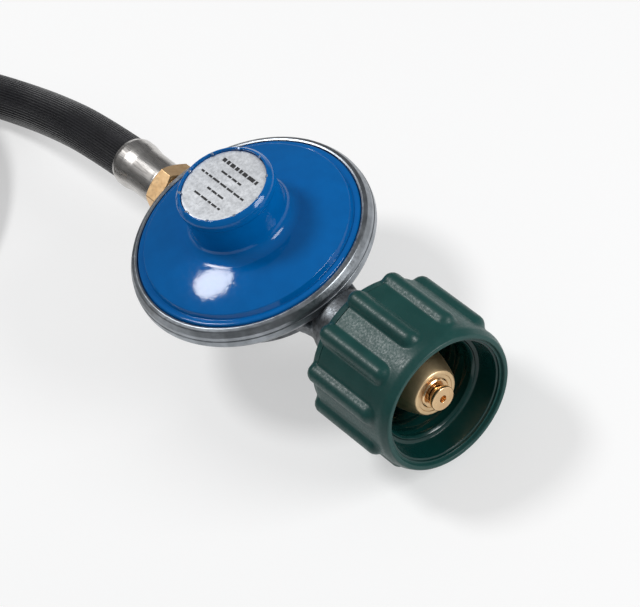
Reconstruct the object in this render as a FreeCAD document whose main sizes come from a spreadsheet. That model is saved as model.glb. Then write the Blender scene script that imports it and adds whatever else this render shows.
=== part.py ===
import FreeCAD, Part
import Sketcher
import math
import os
from types import SimpleNamespace

Vector = FreeCAD.Vector
Rotation = FreeCAD.Rotation

# ---------------------------------------------------------------- dimensions
# Millimetres. Lengths along the gas inlet (x) and heights are counted from the
# point where the bonnet's axis crosses the inlet's axis.
DIMENSIONS = {
    # where the regulator stands
    "bonnet_axis_x": -9.2,
    "rib_count": 11,
    "rib_pitch_radius": 22.7,
    "rib_radius": 3.2,
    # coupling nut
    "nut_back_x": 54.0,
    "nut_mouth_x": 90.0,
    "nut_radius": 23.6,
    "nut_lip_radius": 22.8,
    "nut_mouth_bore": 20.6,
    "nut_thread_bore": 16.2,
    "nut_thread_x": 79.5,
    "nut_wall": 4.5,
    "rib_front_x": 81.3,
    "rib_back_x": 57.2,
    # inlet nipple and what it carries
    "shank_radius": 9.5,
    "nose_radius": 10.8,
    "nose_tip_radius": 6.2,
    "nose_tip_x": 84.0,
    "flange_radius": 13.0,
    "flange_x": 64.0,
    "bush_radius": 4.9,
    "bush_x": 79.0,
    "probe_head_radius": 4.05,
    "probe_tip_x": 87.5,
    "probe_neck_radius": 2.6,
    "spring_room_radius": 4.2,
    "gas_radius": 2.2,
    "slack": 0.3,
    # casting
    "rim_radius": 39.5,
    "flange_seat_radius": 37.4,
    "lip_radius": 36.3,
    "bowl_radius": 25.5,
    "bowl_inside": 22.5,
    "bowl_floor": -11.0,
    "seat_height": 11.0,
    "neck_radius": 11.0,
    "neck_end_x": 52.0,
    "boss_radius": 5.0,
    "boss_x": 9.0,
    "orifice_x": 17.0,
    "guide_radius": 3.1,
    "outlet_radius": 9.5,
    "outlet_end_x": -43.0,
    "outlet_thread_radius": 6.6,
    # bonnet and diaphragm
    "sheet": 1.2,
    "bonnet_edge_radius": 35.8,
    "dome_radius": 33.2,
    "dome_foot_height": 17.1,
    "dome_top_height": 21.2,
    "tower_radius": 15.2,
    "tower_bore": 12.6,
    "tower_height": 38.0,
    "seal_radius": 13.8,
    "seal_thickness": 0.5,
    "pan_radius": 22.0,
    "stem_radius": 2.2,
    "spring_mean_radius": 10.5,
    "spring_wire": 1.4,
    # lever
    "pivot_x": 13.0,
    "pivot_z": -7.0,
    "pin_radius": 0.8,
    # hose and its ends
    "hose_radius": 7.4,
    "barb_radius": 4.2,
    "ferrule_x": -71.6,
    "ferrule_length": 20.4,
    "ferrule_radius": 7.7,
    "ferrule_mouth_radius": 8.3,
    "hex_flats": 17.0,
    "hex_hose_x": -50.9,
    "hex_body_x": -44.2,
    "coil_radius": 71.5,
    "coil_x": -183.2,
    "coil_y": -93.2,
    "coil_entry_angle": 122.0,
    "coil_sweep": 528.0,
    "end_height": 26.2,
    "end_hex_flats": 19.0,
    "end_thread_radius": 7.94,
}


RUNS_PER_TURN = 12  # straight runs in one turn of a spring


class Size:
    """A number that keeps the spreadsheet formula it comes from."""

    def __init__(self, value, formula=None):
        self.value = float(value)
        self.formula = formula or f"{value}"

    def __add__(self, other):
        other = size(other)
        return Size(self.value + other.value, f"({self.formula} + {other.formula})")

    def __sub__(self, other):
        other = size(other)
        return Size(self.value - other.value, f"({self.formula} - {other.formula})")

    def __mul__(self, other):
        other = size(other)
        return Size(self.value * other.value, f"({self.formula} * {other.formula})")

    def __truediv__(self, other):
        other = size(other)
        return Size(self.value / other.value, f"({self.formula} / {other.formula})")

    def __rsub__(self, other):
        return size(other) - self

    def __rtruediv__(self, other):
        return size(other) / self

    def __neg__(self):
        return size(0) - self

    __radd__ = __add__
    __rmul__ = __mul__


def size(value):
    return value if isinstance(value, Size) else Size(value)


def cosine(degrees):
    degrees = size(degrees)
    return Size(math.cos(math.radians(degrees.value)), f"cos({degrees.formula} * 1 deg)")


doc = FreeCAD.newDocument("PropaneRegulatorHose")
sheet = doc.addObject("Spreadsheet::Sheet", "Dims")
for row, (alias, value) in enumerate(DIMENSIONS.items(), start=1):
    sheet.set(f"A{row}", alias)
    sheet.set(f"B{row}", str(value))
    sheet.setAlias(f"B{row}", alias)
doc.recompute()
d = SimpleNamespace(**{alias: Size(value, f"Dims.{alias}") for alias, value in DIMENSIONS.items()})
d.inlet_z = d.rib_pitch_radius * cosine(180 / d.rib_count) + d.rib_radius

parts = {}


# ---------------------------------------------------------------- helpers
def keep(obj, label):
    obj.Label = label
    parts[label] = obj
    return obj


def place(obj, x=None, y=0, z=None, turn=0):
    """Put a sub-part's own origin at x, y, z, turned about Z by a number of degrees."""
    x = d.bonnet_axis_x if x is None else size(x)
    z = d.inlet_z if z is None else size(z)
    y = size(y)
    obj.Placement = FreeCAD.Placement(Vector(x.value, y.value, z.value), Rotation(Vector(0, 0, 1), turn))
    for axis, value in (("x", x), ("y", y), ("z", z)):
        obj.setExpression(f".Placement.Base.{axis}", value.formula)


def origin_part(body, role):
    return next(o for o in body.Origin.OriginFeatures if o.Role == role)


def new_body(label, **where):
    body = doc.addObject("PartDesign::Body", label)
    keep(body, label)
    place(body, **where)
    doc.recompute()
    return body


def new_sketch(body, plane="XZ_Plane", offset=None):
    sketch = body.newObject("Sketcher::SketchObject", f"{body.Name}_sketch")
    sketch.AttachmentSupport = [(origin_part(body, plane), "")]
    sketch.MapMode = "FlatFace"
    if offset is not None:
        sketch.AttachmentOffset = FreeCAD.Placement(Vector(0, 0, offset.value), Rotation())
        sketch.setExpression(".AttachmentOffset.Base.z", offset.formula)
    return sketch


def add_outline(sketch, points):
    """A closed polygon whose corners are held at their places by bound constraints."""
    points = [(size(x), size(y)) for x, y in points]
    first = len(sketch.Geometry)
    count = len(points)
    for (x0, y0), (x1, y1) in zip(points, points[1:] + points[:1]):
        start = Vector(x0.value, y0.value, 0)
        end = Vector(x1.value, y1.value, 0)
        sketch.addGeometry(Part.LineSegment(start, end), False)
    for index in range(count):
        here = first + index
        after = first + (index + 1) % count
        sketch.addConstraint(Sketcher.Constraint("Coincident", here, 2, after, 1))
    for index, (x, y) in enumerate(points):
        for kind, value in (("DistanceX", x), ("DistanceY", y)):
            axis = -2 if kind == "DistanceX" else -1
            if value.value == 0:
                sketch.addConstraint(Sketcher.Constraint("PointOnObject", first + index, 1, axis))
                continue
            rule = Sketcher.Constraint(kind, -1, 1, first + index, 1, value.value)
            number = sketch.addConstraint(rule)
            sketch.setExpression(f"Constraints[{number}]", value.formula)


def add_circle(sketch, radius, x=0, y=0):
    radius, x, y = size(radius), size(x), size(y)
    circle = Part.Circle(Vector(x.value, y.value, 0), Vector(0, 0, 1), radius.value)
    index = sketch.addGeometry(circle, False)
    rules = [("Radius", radius, Sketcher.Constraint("Radius", index, radius.value))]
    for kind, value, axis in (("DistanceX", x, -2), ("DistanceY", y, -1)):
        if value.value == 0:
            sketch.addConstraint(Sketcher.Constraint("PointOnObject", index, 3, axis))
        else:
            rules.append((kind, value, Sketcher.Constraint(kind, -1, 1, index, 3, value.value)))
    for kind, value, rule in rules:
        number = sketch.addConstraint(rule)
        sketch.setExpression(f"Constraints[{number}]", value.formula)


def revolve(body, points, axis="H_Axis", cut=False):
    """Turn an outline about the sketch's horizontal (x) or vertical (z) axis."""
    kind = "PartDesign::Groove" if cut else "PartDesign::Revolution"
    before = body.Shape.Volume if cut else 0
    sketch = new_sketch(body)
    add_outline(sketch, points)
    feature = body.newObject(kind, f"{body.Name}_turn")
    feature.Profile = sketch
    feature.ReferenceAxis = (sketch, [axis])
    feature.Angle = 360
    doc.recompute()
    if cut and body.Shape.Volume > before - 0.01:
        raise RuntimeError(f"{body.Label}: a groove cut nothing")
    return feature


def extrude(body, outlines, length, plane="XZ_Plane", offset=None, cut=False, both=False):
    """Pad or pocket outlines (lists of corners, or a circle's radius and centre)."""
    kind = "PartDesign::Pocket" if cut else "PartDesign::Pad"
    before = body.Shape.Volume if cut else 0
    sketch = new_sketch(body, plane, offset)
    for outline in outlines:
        if isinstance(outline, dict):
            add_circle(sketch, **outline)
        else:
            add_outline(sketch, outline)
    feature = body.newObject(kind, f"{body.Name}_run")
    feature.Profile = sketch
    feature.Length = size(length).value
    feature.setExpression("Length", size(length).formula)
    feature.Midplane = both
    doc.recompute()
    if cut and body.Shape.Volume > before - 0.01:
        raise RuntimeError(f"{body.Label}: a pocket cut nothing")
    return feature


def round_rings(body, rings, radius, along="x", cut="PartDesign::Fillet"):
    """Round (or chamfer) the circular edges given as (place along the axis, radius)."""
    base = body.Tip
    names = []
    for number, edge in enumerate(base.Shape.Edges, start=1):
        if not isinstance(edge.Curve, Part.Circle):
            continue
        centre = getattr(edge.Curve.Center, along)
        for where, ring in rings:
            near = abs(centre - size(where).value) < 0.02
            if near and abs(edge.Curve.Radius - size(ring).value) < 0.02:
                names.append(f"Edge{number}")
    if len(names) < len(rings):
        raise RuntimeError(f"{body.Label}: an edge to round was not found")
    feature = body.newObject(cut, f"{body.Name}_edge")
    feature.Base = (base, names)
    setattr(feature, "Radius" if cut.endswith("Fillet") else "Size", radius)
    doc.recompute()
    return feature


def hexagon(flats, turn=30):
    """Corners of a hexagon from its width across flats, the first one at an angle."""
    corner = flats / Size(math.sqrt(3), "sqrt(3)")
    angles = [turn + 60 * step for step in range(6)]
    return [(corner * cosine(a), corner * cosine(90 - a)) for a in angles]


def turned(label, points, axis="H_Axis", **where):
    body = new_body(label, **where)
    revolve(body, points, axis)
    return body


def coil_spring(label, start, end, mean, wire, turns, along):
    """A helix of six-sided wire from one height to the other along Z or X, in short straight runs."""
    runs = turns * RUNS_PER_TURN
    rise = (end - start - wire) / runs
    angles = [math.radians(60 * step) for step in range(7)]
    lay = Rotation(Vector(0, 1, 0), 90 if along == "x" else 0)
    sections = []
    for run in range(runs + 1):
        turn = lay * Rotation(Vector(0, 0, 1), 360 / RUNS_PER_TURN * run)
        middle = Vector(mean, 0, start + wire / 2 + rise * run)
        corners = [middle + Vector(math.cos(a), 0, math.sin(a)) * (wire / 2) for a in angles]
        sections.append(Part.makePolygon([turn.multVec(corner) for corner in corners]))
    spring = keep(doc.addObject("Part::Feature", label), label)
    spring.Shape = Part.makeLoft(sections, True, True)
    place(spring)
    return spring


# ---------------------------------------------------------------- casting
def body_casting():
    body = new_body("body_casting")
    floor = d.bowl_floor
    wall = 2.5
    outer = [
        (0, floor - wall),
        (d.bowl_radius - 5, floor - wall),
        (d.bowl_radius, floor + 2),
        (d.bowl_radius, 2),
        (d.lip_radius - 1.8, 6.4),
        (d.lip_radius + 0.9, 7.0),
        (d.rim_radius - 0.8, 8.2),
        (d.rim_radius, 10.0),
        (d.rim_radius, 11.0),
        (d.rim_radius - 0.7, 13.1),
        (d.rim_radius - 2.0, 14.7),
        (d.lip_radius + 0.2, 15.1),
        (d.lip_radius, 14.9),
    ]
    inner = [
        (d.lip_radius, d.seat_height + 2.8),
        (d.flange_seat_radius, d.seat_height + 2.8),
        (d.flange_seat_radius, d.seat_height),
        (33, d.seat_height),
        (33, 8.8),
        (d.bowl_inside, 3.5),
        (d.bowl_inside, floor + 2),
        (d.bowl_inside - 2, floor),
        (0, floor),
    ]
    revolve(body, outer + inner, "V_Axis")
    neck = [
        (d.boss_x, 0),
        (d.boss_x, d.boss_radius),
        (21, d.boss_radius),
        (21, 8.4),
        (34, 8.4),
        (40, d.neck_radius),
        (46, d.neck_radius),
        (48, 13.2),
        (d.neck_end_x, 13.2),
        (d.neck_end_x, 0),
    ]
    revolve(body, neck)
    outlet = [
        (-23, 0),
        (d.outlet_end_x, 0),
        (d.outlet_end_x, d.outlet_radius - 0.6),
        (d.outlet_end_x + 0.6, d.outlet_radius),
        (-23, d.outlet_radius),
    ]
    revolve(body, outlet)
    gusset = [(25.8, -12.4), (33, -10.5), (44, -8), (44, 8), (33, 10.5), (25.8, 12.4)]
    extrude(body, [gusset], 5.6, "XY_Plane")
    inlet_way = [
        (d.boss_x - 1, 0),
        (d.boss_x - 1, d.guide_radius),
        (30, d.guide_radius),
        (30, d.gas_radius),
        (38, d.gas_radius),
        (38, 7),
        (d.neck_end_x + 1, 7),
        (d.neck_end_x + 1, 0),
    ]
    revolve(body, inlet_way, cut=True)
    outlet_way = [
        (-18, 0),
        (d.outlet_end_x - 1, 0),
        (d.outlet_end_x - 1, d.outlet_thread_radius),
        (-32, d.outlet_thread_radius),
        (-32, 3.2),
        (-18, 3.2),
    ]
    revolve(body, outlet_way, cut=True)
    lever_slot = [(d.pivot_x - 2.6, -9), (d.pivot_x + 2.6, -9), (d.pivot_x + 2.6, 0), (d.pivot_x - 2.6, 0)]
    extrude(body, [lever_slot], 3.4, cut=True, both=True)
    return body


# ---------------------------------------------------------------- bonnet and what it closes
def bonnet():
    flange_top = d.seat_height + 2.8
    outline = [
        (d.flange_seat_radius, d.seat_height + d.sheet),
        (d.flange_seat_radius, flange_top),
        (d.lip_radius - 0.1, flange_top),
        (d.bonnet_edge_radius, 14.8),
        (d.bonnet_edge_radius - 0.6, 15.3),
        (d.dome_radius + 1.2, 15.3),
        (d.dome_radius, d.dome_foot_height),
        (24, 19.9),
        (d.tower_radius + 2.6, d.dome_top_height),
        (d.tower_radius, 24),
        (d.tower_radius, 33.6),
        (d.tower_radius + 0.4, 34.4),
        (d.tower_radius + 0.4, 36.0),
        (d.seal_radius + 0.7, d.tower_height),
        (d.seal_radius + 0.05, d.tower_height),
        (d.seal_radius + 0.05, d.tower_height - 1.4),
        (d.tower_bore, d.tower_height - 1.4),
        (d.tower_bore, 19.2),
        (31.6, 15.2),
        (32.2, 14),
        (33, d.seat_height + d.sheet),
    ]
    body = turned("bonnet", outline, "V_Axis")
    round_rings(body, [(d.dome_foot_height, d.dome_radius)], 0.6, "z")
    round_rings(body, [(d.dome_top_height, d.tower_radius + 2.6)], 4.0, "z")
    round_rings(body, [(36.0, d.tower_radius + 0.4)], 0.9, "z")
    return body


def diaphragm_parts():
    low = d.seat_height
    high = low + d.sheet
    turned(
        "diaphragm",
        [
            (d.stem_radius, low),
            (26.2, low),
            (27.4, low - 1.6),
            (30.2, low - 1.6),
            (32, low),
            (d.flange_seat_radius, low),
            (d.flange_seat_radius, high),
            (31.6, high),
            (29.8, high - 1.6),
            (27.8, high - 1.6),
            (26.6, high),
            (d.stem_radius, high),
        ],
        "V_Axis",
    )
    turned(
        "pan_upper",
        [
            (d.stem_radius, high),
            (d.pan_radius, high),
            (d.pan_radius + 0.8, high + 1.8),
            (d.pan_radius, high + 1.8),
            (d.pan_radius - 0.8, high + 1),
            (d.stem_radius, high + 1),
        ],
        "V_Axis",
    )
    turned("pan_lower", tube_outline_z(low - 1, low, d.stem_radius, d.pan_radius - 2), "V_Axis")
    stem = turned(
        "diaphragm_stem",
        [
            (0, d.pivot_z - 2.0),
            (d.stem_radius - 0.4, d.pivot_z - 2.0),
            (d.stem_radius, d.pivot_z - 1.6),
            (d.stem_radius, high + 1),
            (5, high + 1),
            (5, high + 2.4),
            (0, high + 2.4),
        ],
        "V_Axis",
    )
    slot_low = d.pivot_z - 1.1
    slot_high = d.pivot_z + 1.1
    slot = [(-1.6, slot_low), (5, slot_low), (5, slot_high), (-1.6, slot_high)]
    extrude(stem, [slot], 2.8, cut=True, both=True)


def tube_outline_z(low, high, inner, outer):
    return [(inner, low), (outer, low), (outer, high), (inner, high)]


def adjusting_parts():
    top = d.tower_height - 1.4
    face = top + d.seal_thickness
    disc = turned("seal_disc", [(0, top), (d.seal_radius, top), (d.seal_radius, face), (0, face)], "V_Axis")
    round_rings(disc, [(face, d.seal_radius)], 0.2, "z")
    screw = turned(
        "adjusting_screw",
        [
            (0, 31.2),
            (d.tower_bore - 4.2, 31.2),
            (d.tower_bore - 4.2, 32.2),
            (d.tower_bore, 32.2),
            (d.tower_bore, 35.6),
            (0, 35.6),
        ],
        "V_Axis",
    )
    extrude(screw, [hexagon(size(8), 0)], 3, "XY_Plane", offset=size(35.6), cut=True)


# ---------------------------------------------------------------- valve and lever
def valve_parts():
    turned(
        "valve_orifice",
        [
            (d.orifice_x, 1.1),
            (d.orifice_x, 1.9),
            (d.orifice_x + 0.8, d.guide_radius),
            (30, d.guide_radius),
            (30, 1.6),
            (22, 1.6),
            (21, 1.1),
        ],
    )
    holder = turned(
        "seat_holder",
        [
            (9.6, 0),
            (9.6, d.guide_radius - 0.3),
            (15.4, d.guide_radius - 0.3),
            (15.4, 0),
        ],
    )
    slot = [(d.pivot_x - 1.1, -4), (d.pivot_x + 1.1, -4), (d.pivot_x + 1.1, 1.8), (d.pivot_x - 1.1, 1.8)]
    extrude(holder, [slot], 2.6, cut=True, both=True)
    turned("seat_rubber", [(15.4, 0), (15.4, 2.5), (d.orifice_x, 2.5), (d.orifice_x, 0)])


def lever_parts():
    x, z = d.pivot_x, d.pivot_z
    lever = new_body("lever")
    arm = [
        (-1.0, z - 0.6),
        (x + 1.4, z - 1.2),
        (x + 1.6, z + 0.6),
        (x + 0.5, z + 1.8),
        (x + 0.5, 0.6),
        (x + 0.2, 1.0),
        (x - 0.2, 1.0),
        (x - 0.5, 0.6),
        (x - 0.5, z + 1.8),
        (x - 1.6, z + 0.6),
        (-1.0, z + 0.6),
    ]
    extrude(lever, [arm], 2.0, both=True)
    extrude(lever, [{"radius": d.pin_radius + 0.06, "x": x, "y": z}], 6, cut=True, both=True)
    bracket = new_body("lever_bracket")
    channel = [
        (-4.6, d.bowl_floor),
        (4.6, d.bowl_floor),
        (4.6, z + 1.7),
        (3.4, z + 1.7),
        (3.4, d.bowl_floor + 1),
        (-3.4, d.bowl_floor + 1),
        (-3.4, z + 1.7),
        (-4.6, z + 1.7),
    ]
    extrude(bracket, [channel], 5.0, "YZ_Plane", offset=x - 2.5)
    extrude(bracket, [{"radius": d.pin_radius, "x": x, "y": z}], 12, cut=True, both=True)
    pin = new_body("lever_pin")
    extrude(pin, [{"radius": d.pin_radius, "x": x, "y": z}], 10, both=True)


# ---------------------------------------------------------------- inlet nipple
def inlet_parts():
    tip = d.nose_tip_x
    turned(
        "inlet_nipple",
        [
            (38, d.gas_radius),
            (38, 6.4),
            (38.6, 7),
            (d.neck_end_x, 7),
            (d.neck_end_x, d.shank_radius),
            (d.flange_x, d.shank_radius),
            (d.flange_x, d.flange_radius),
            (d.flange_x + 2.4, d.flange_radius),
            (d.flange_x + 2.4, d.nose_radius),
            (tip - 13.5, d.nose_radius),
            (tip - 9.5, d.nose_radius - 0.5),
            (tip - 5.5, d.nose_radius - 1.6),
            (tip - 2.5, d.nose_radius - 2.9),
            (tip - 0.8, d.nose_tip_radius + 0.5),
            (tip, d.nose_tip_radius),
            (tip, d.bush_radius),
            (d.bush_x, d.bush_radius),
            (d.bush_x, d.spring_room_radius),
            (60, d.spring_room_radius),
            (60, d.gas_radius),
        ],
    )
    turned("inlet_filter", [(60, 0), (60, d.spring_room_radius), (63, d.spring_room_radius), (63, 0)])
    turned(
        "probe_bush",
        [
            (d.bush_x, d.probe_neck_radius + d.slack),
            (tip + 0.3, d.probe_neck_radius + d.slack),
            (tip + 0.3, d.bush_radius - 0.4),
            (tip, d.bush_radius),
            (d.bush_x, d.bush_radius),
        ],
    )
    head_back = d.probe_tip_x - 1.4
    turned(
        "probe",
        [
            (70, 0),
            (70, 2),
            (76.4, 2),
            (76.4, d.spring_room_radius - d.slack),
            (78.4, d.spring_room_radius - d.slack),
            (78.4, d.probe_neck_radius),
            (head_back, d.probe_neck_radius),
            (head_back, d.probe_head_radius - 0.3),
            (head_back + 0.3, d.probe_head_radius),
            (d.probe_tip_x - 0.3, d.probe_head_radius),
            (d.probe_tip_x, d.probe_head_radius - 0.3),
            (d.probe_tip_x, 1.1),
            (d.probe_tip_x - 2, 0.8),
            (d.probe_tip_x - 2, 0),
        ],
    )
    coil_spring("probe_spring", 63.1, 76.3, 3.1, 0.6, 7, "x")


def nut_parts():
    sleeve_back = d.nut_back_x + 0.4
    rear = d.nut_back_x + d.nut_wall
    turned(
        "thermal_bushing",
        [
            (sleeve_back, d.shank_radius + d.slack),
            (62, d.shank_radius + d.slack),
            (62, 15.4),
            (rear + d.slack, 15.4),
            (rear + d.slack, 12),
            (sleeve_back, 12),
        ],
    )
    nut = new_body("coupling_nut")
    lead_x = d.nut_thread_x + 3.4
    revolve(
        nut,
        [
            (d.nut_back_x, 12 + d.slack),
            (d.nut_back_x, d.nut_radius - 1.6),
            (d.nut_back_x + 0.8, d.nut_radius - 0.6),
            (d.nut_back_x + 3.2, d.nut_radius - 0.3),
            (d.nut_back_x + 3.4, d.nut_radius),
            (d.nut_mouth_x - 2.2, d.nut_radius),
            (d.nut_mouth_x, d.nut_lip_radius),
            (d.nut_mouth_x, d.nut_mouth_bore + 0.5),
            (d.nut_mouth_x - 0.9, d.nut_mouth_bore + 0.2),
            (d.nut_mouth_x - 0.9, d.nut_mouth_bore - 0.6),
            (d.nut_mouth_x - 2, d.nut_mouth_bore - 1),
            (lead_x, 17.6),
            (lead_x - 0.6, d.nut_thread_bore + 0.6),
            (d.nut_thread_x, d.nut_thread_bore),
            (rear, d.nut_thread_bore),
            (rear, 12 + d.slack),
        ],
    )
    middle = d.rib_pitch_radius
    sketch = new_sketch(nut)
    step = 0.707 * d.rib_radius
    add_outline(
        sketch,
        [
            (d.rib_back_x - d.rib_radius, middle),
            (d.rib_back_x - step, middle + step),
            (d.rib_back_x, middle + d.rib_radius),
            (d.rib_front_x, middle + d.rib_radius),
            (d.rib_front_x + step, middle + step),
            (d.rib_front_x + d.rib_radius, middle),
        ],
    )
    rib = nut.newObject("PartDesign::Revolution", "rib")
    rib.Profile = sketch
    rib.ReferenceAxis = (sketch, ["Edge6"])
    rib.Angle = 360
    doc.recompute()
    ribs = nut.newObject("PartDesign::PolarPattern", "ribs")
    ribs.Originals = [rib]
    ribs.Axis = (origin_part(nut, "X_Axis"), [""])
    ribs.Angle = 360
    ribs.Occurrences = DIMENSIONS["rib_count"]
    ribs.setExpression("Occurrences", d.rib_count.formula)
    nut.Tip = ribs
    doc.recompute()


# ---------------------------------------------------------------- outlet and hose ends
def outlet_fitting():
    body = new_body("outlet_fitting")
    hose_end = d.ferrule_x
    shank = [
        (-32, 3),
        (-32, d.outlet_thread_radius),
        (d.outlet_end_x, d.outlet_thread_radius),
        (d.outlet_end_x, 8.3),
        (d.hex_body_x, 8.3),
        (d.hex_body_x, 4.9),
        (d.hex_hose_x - 1.1, 4.9),
        (d.hex_hose_x - 1.1, d.barb_radius),
        (hose_end + 3, d.barb_radius),
        (hose_end + 2, d.barb_radius - 0.8),
        (hose_end + 2, 2.4),
        (-36, 2.4),
    ]
    revolve(body, shank)
    flats = hexagon(d.hex_flats, 30)
    extrude(body, [flats, {"radius": 4}], d.hex_body_x - d.hex_hose_x, "YZ_Plane", offset=d.hex_hose_x)
    corner = d.hex_flats / 2
    for face, inward in ((d.hex_hose_x, 1.1), (d.hex_body_x, -1.1)):
        edge = [(face, corner + 0.2), (face, corner + 2), (face + inward * 1.5, corner + 2)]
        revolve(body, edge, cut=True)


def ferrule(label, **where):
    """A crimped sleeve, its mouth at x = 0 and the hose coming in from -x."""
    end = d.ferrule_length
    mouth = d.ferrule_mouth_radius
    body = turned(
        label,
        [
            (0, d.hose_radius),
            (0, mouth - 0.5),
            (0.8, mouth),
            (4.6, mouth - 0.1),
            (6.4, mouth - 0.4),
            (8.6, d.ferrule_radius),
            (end - 0.6, d.ferrule_radius),
            (end, d.ferrule_radius - 0.6),
            (end, 5.2),
            (end - 1.6, 5.2),
            (end - 1.6, d.hose_radius),
        ],
        **where,
    )
    round_rings(body, [(0.8, mouth), (6.4, mouth - 0.4)], 1.0)
    return body


def hose_root(label, **where):
    """The stretch of hose that the ferrule grips, on its barb."""
    inner = [(0, d.barb_radius), (d.ferrule_length - 1.6, d.barb_radius)]
    outer = [(d.ferrule_length - 1.6, d.hose_radius), (0, d.hose_radius)]
    return turned(label, inner + outer, **where)


def far_end():
    """The crimped sleeve, flared stem and swivel nut that lie on the coil."""
    end_angle = d.coil_entry_angle + d.coil_sweep
    heading = (end_angle + 90).value
    x = d.coil_x + d.coil_radius * cosine(end_angle)
    y = d.coil_y + d.coil_radius * cosine(90 - end_angle)
    where = {"x": x, "y": y, "z": d.end_height, "turn": heading}
    ferrule("end_ferrule", **where)
    hose_root("end_hose_root", **where)
    turned(
        "end_stem",
        [
            (1, 2.4),
            (1, d.barb_radius - 0.8),
            (2, d.barb_radius),
            (19.6, d.barb_radius),
            (19.6, 5),
            (30.2, 5),
            (30.2, 7.4),
            (32.4, 7.4),
            (36, 3.2),
            (36, 2.4),
        ],
        **where,
    )
    nut = new_body("end_swivel_nut", **where)
    extrude(nut, [hexagon(d.end_hex_flats, 30), {"radius": 5 + d.slack}], 19, "YZ_Plane", offset=size(25.4))
    bore = [
        (29.4, 0),
        (29.4, 8.3),
        (36.4, 8.3),
        (36.4, d.end_thread_radius),
        (46, d.end_thread_radius),
        (46, 0),
    ]
    revolve(nut, bore, cut=True)
    corner = d.end_hex_flats / 2
    for face, inward in ((25.4, 1.5), (44.4, -1.5)):
        revolve(nut, [(face, corner + 0.2), (face, corner + 3), (face + inward, corner + 3)], cut=True)


# ---------------------------------------------------------------- hose
def route():
    """Corners of the hose's path from its sleeve to the coil, chosen by hand."""
    start = d.bonnet_axis_x + d.ferrule_x
    entry = d.coil_entry_angle
    arrive_x = d.coil_x + d.coil_radius * cosine(entry)
    arrive_y = d.coil_y + d.coil_radius * cosine(90 - entry)
    low = d.hose_radius.value
    return [
        Vector(start.value, 0, d.inlet_z.value),
        Vector(-103.2, -0.6, 23.7),
        Vector(-127.2, -1.2, 16.7),
        Vector(-149.2, -2.6, 9.8),
        Vector(-171.2, -7.6, low + 0.1),
        Vector(-197.4, -18.0, low),
        Vector(arrive_x.value, arrive_y.value, low),
    ]


def hose():
    """Straight runs joined by tangent arcs, as one solid of the hose's section."""
    corners = route()
    edges = []
    start = corners[0]
    for before, corner, after in zip(corners, corners[1:], corners[2:]):
        arriving = (corner - before).normalize()
        leaving = (after - corner).normalize()
        shorter = min(before.distanceToPoint(corner), corner.distanceToPoint(after))
        half_turn = arriving.getAngle(leaving) / 2
        cut = 0.45 * shorter
        radius = cut / math.tan(half_turn)
        print(f"hose bend radius {radius:.1f} mm, turn {math.degrees(2 * half_turn):.1f} degrees")
        arc_start = corner - arriving * cut
        arc_end = corner + leaving * cut
        outward = (arriving - leaving).normalize()
        middle = corner - outward * (radius / math.cos(half_turn) - radius)
        edges.append(Part.LineSegment(start, arc_start).toShape())
        edges.append(Part.Arc(arc_start, middle, arc_end).toShape())
        start = arc_end
    edges.append(Part.LineSegment(start, corners[-1]).toShape())
    path = Part.Wire(edges)
    facing = (corners[1] - corners[0]).normalize()
    section = Part.Wire([Part.Circle(corners[0], facing, d.hose_radius.value).toShape()])
    tube = keep(doc.addObject("Part::Feature", "hose"), "hose")
    tube.Shape = path.makePipeShell([section], True, False)
    expected = math.pi * d.hose_radius.value**2 * path.Length
    print(f"hose length {path.Length:.1f} mm, volume {tube.Shape.Volume:.0f}, section x length {expected:.0f}")


def pie(name, radius, height, angle, turn, z):
    """A sector of a round disc about the coil's axis."""
    piece = doc.addObject("Part::Cylinder", name)
    for prop, value in (("Radius", radius), ("Height", height), ("Angle", angle)):
        setattr(piece, prop, size(value).value)
        piece.setExpression(prop, size(value).formula)
    place(piece, d.coil_x, d.coil_y, z, turn)
    return piece


def hose_coil():
    """The put-away turns: one lap on the floor, the rest on top of it."""
    thick = 2 * d.hose_radius
    outside = d.coil_radius + d.hose_radius
    top = d.end_height + d.hose_radius
    entry = d.coil_entry_angle.value
    lower = pie("coil_lower", outside, thick, 312, entry, size(0))
    upper = pie("coil_upper", outside, top - thick, d.coil_sweep - 270, entry - 90, thick)
    core = pie("coil_core", d.coil_radius - d.hose_radius, top, 360, 0, size(0))
    both = doc.addObject("Part::Fuse", "coil_laps")
    both.Base = lower
    both.Tool = upper
    ring = keep(doc.addObject("Part::Cut", "hose_coil"), "hose_coil")
    ring.Base = both
    ring.Tool = core


# ---------------------------------------------------------------- build, test and export
body_casting()
bonnet()
diaphragm_parts()
adjusting_parts()
coil_spring("main_spring", 13.3, 32.1, DIMENSIONS["spring_mean_radius"], DIMENSIONS["spring_wire"], 5, "z")
valve_parts()
lever_parts()
inlet_parts()
nut_parts()
outlet_fitting()
mouth = {"x": d.bonnet_axis_x + d.ferrule_x}
ferrule("hose_ferrule", **mouth)
hose_root("hose_root", **mouth)
hose()
hose_coil()
far_end()
doc.recompute()

for obj in doc.Objects:
    if "Invalid" in obj.State or "Error" in obj.State:
        raise RuntimeError(f"{obj.Label} is {obj.State}")

os.makedirs("parts", exist_ok=True)
for label, obj in parts.items():
    shape = obj.Shape
    if shape.isNull() or not shape.isValid() or len(shape.Solids) != 1:
        raise RuntimeError(f"{label} is not one valid solid")
    shape.exportStep(f"parts/{label}.step")
print(f"{len(parts)} sub-parts written")
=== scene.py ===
import math
import random

import bmesh
import bpy
from mathutils import Matrix, Vector, noise


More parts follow.
